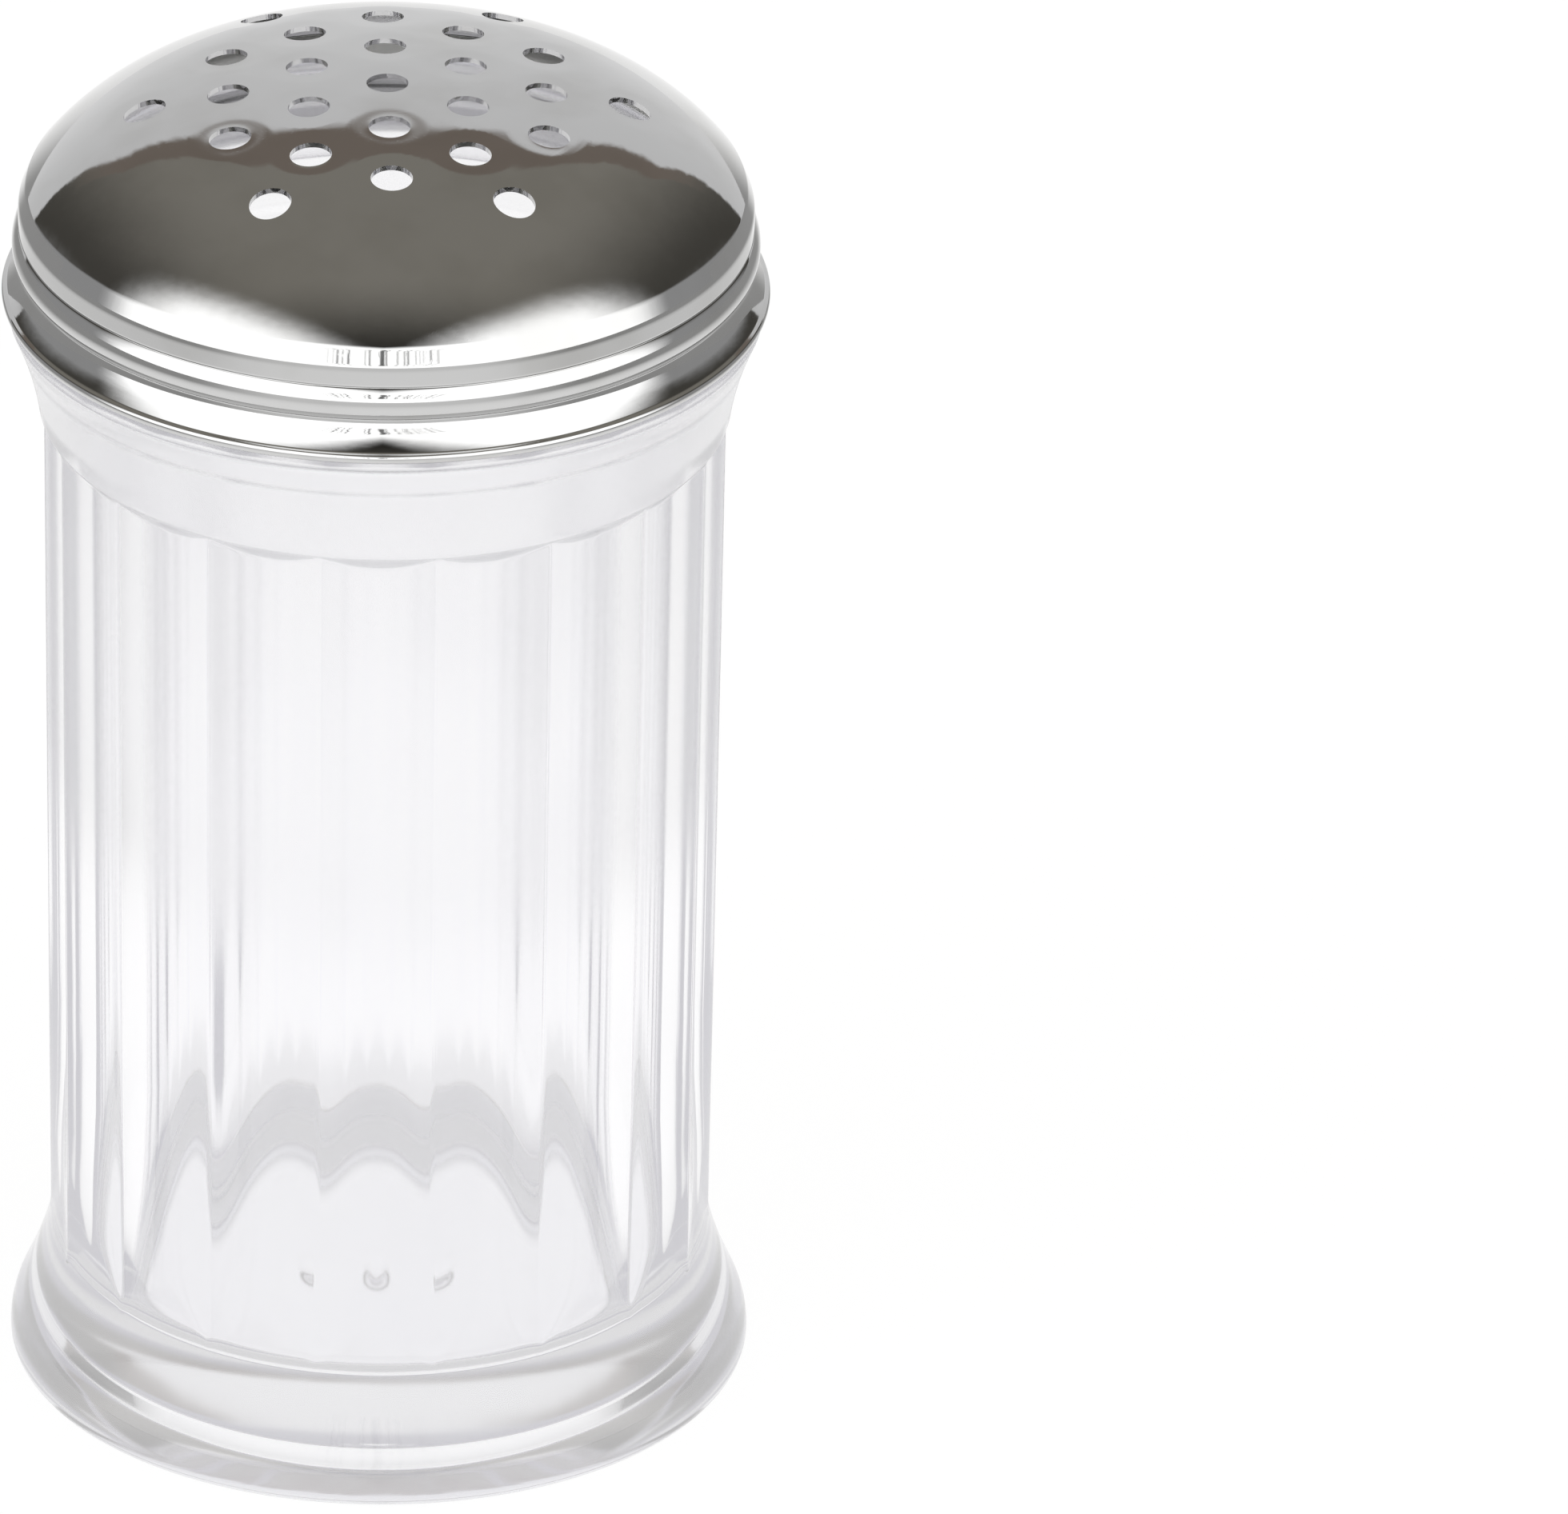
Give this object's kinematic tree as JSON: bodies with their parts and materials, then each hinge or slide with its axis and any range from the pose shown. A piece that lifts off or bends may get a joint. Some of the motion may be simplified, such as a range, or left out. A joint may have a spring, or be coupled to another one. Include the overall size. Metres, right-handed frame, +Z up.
{
  "type": "cheese shaker",
  "caption": "Table shaker for grated cheese: a clear fluted jar with a flared foot and a domed, perforated metal lid that screws on.",
  "frame": {"origin": "centre of the jar's foot on the table", "axes": "+Z up along the jar's axis, -Y towards the side seen in the picture, +X to that viewer's right"},
  "size_m": [0.075, 0.075, 0.1383],
  "materials": {
    "clear_plastic": "clear, polished",
    "polished_steel": "mirror polish",
    "soft_seal": "soft, matte"
  },
  "bodies": {
    "jar": {"jar": "clear_plastic"},
    "seal_ring": {"seal_ring": "soft_seal"},
    "lid": {"lid": "polished_steel"}
  },
  "joints": [
    {"name": "lid_rise", "type": "slide", "parent": "jar", "child": "seal_ring", "axis": [0, 0, 1], "range_m": [0, 0.00361]},
    {"name": "lid_turn", "type": "hinge", "parent": "seal_ring", "child": "lid", "pos_m": [0, 0, 0.116], "axis": [0, 0, 1], "range_deg": [0, 324]}
  ],
  "couplings": [
    {"joint": "lid_rise", "follows": "lid_turn", "m_per_rad": 0.00063662}
  ]
}
